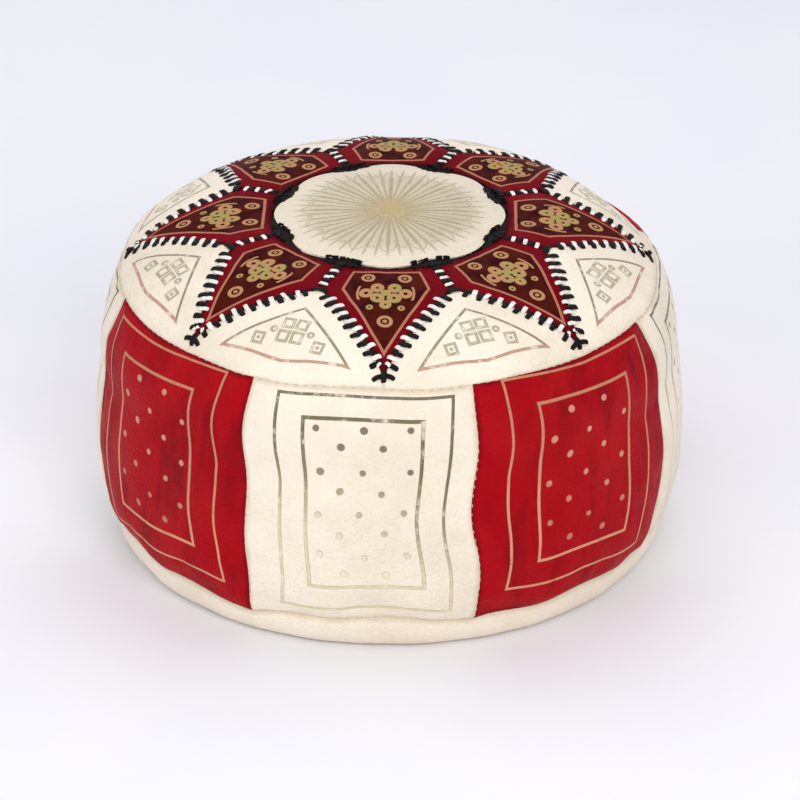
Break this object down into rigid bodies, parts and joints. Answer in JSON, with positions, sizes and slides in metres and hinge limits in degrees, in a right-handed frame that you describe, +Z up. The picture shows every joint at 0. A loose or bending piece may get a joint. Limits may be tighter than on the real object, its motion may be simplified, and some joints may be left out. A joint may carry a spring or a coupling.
{
  "type": "moroccan leather pouf",
  "caption": "Round stuffed leather floor pouf with a laced star top, gilt embossed cream and red side panels, and a zip in the underside.",
  "frame": {"origin": "on the floor, under the middle of the pouf", "axes": "+Z up, -Y towards the front cream side panel, +X to the right along the zip"},
  "size_m": [0.5206, 0.5206, 0.29],
  "materials": {
    "cream_leather": "satin",
    "red_leather": "satin",
    "oxblood_leather": "satin",
    "black_leather": "matte",
    "black_lace": "matte",
    "white_lace": "matte",
    "seam_thread": "matte",
    "zip_tape": "matte",
    "zip_brass": "satin",
    "lining_cotton": "matte",
    "filling": "matte"
  },
  "bodies": {
    "pouf": {"medallion": "cream_leather", "underlay_ring": "black_leather", "star_point_1": "oxblood_leather", "star_point_2": "oxblood_leather", "star_point_3": "oxblood_leather", "star_point_4": "oxblood_leather", "star_point_5": "oxblood_leather", "star_point_6": "oxblood_leather", "star_point_7": "oxblood_leather", "star_point_8": "oxblood_leather", "cream_wedge_1": "cream_leather", "cream_wedge_2": "cream_leather", "cream_wedge_3": "cream_leather", "cream_wedge_4": "cream_leather", "cream_wedge_5": "cream_leather", "cream_wedge_6": "cream_leather", "cream_wedge_7": "cream_leather", "cream_wedge_8": "cream_leather", "side_panel_1": "cream_leather", "side_panel_2": "red_leather", "side_panel_3": "cream_leather", "side_panel_4": "red_leather", "side_panel_5": "cream_leather", "side_panel_6": "red_leather", "side_panel_7": "cream_leather", "side_panel_8": "red_leather", "black_lacing": "black_lace", "white_lacing": "white_lace", "rim_seam_thread": "seam_thread", "side_seam_threads": "seam_thread", "base_seam_thread": "seam_thread", "base_band": "cream_leather", "base_half_front": "cream_leather", "base_half_back": "cream_leather", "zip_tape_front": "zip_tape", "zip_tape_back": "zip_tape", "zip_teeth_front": "zip_brass", "zip_teeth_back": "zip_brass", "zip_top_stops": "zip_brass", "zip_bottom_stop": "zip_brass", "liner_top": "lining_cotton", "liner_side": "lining_cotton", "liner_bottom": "lining_cotton", "stuffing": "filling"},
    "slider": {"zip_slider": "zip_brass"},
    "pull": {"zip_pull": "zip_brass"}
  },
  "joints": [
    {"name": "zip_slide", "type": "slide", "parent": "pouf", "child": "slider", "axis": [1, 0, 0], "range_m": [0, 0.27]},
    {"name": "pull_swing", "type": "hinge", "parent": "slider", "child": "pull", "pos_m": [-0.135, 0, 0.0039], "axis": [0, 1, 0], "range_deg": [0, 180]}
  ]
}
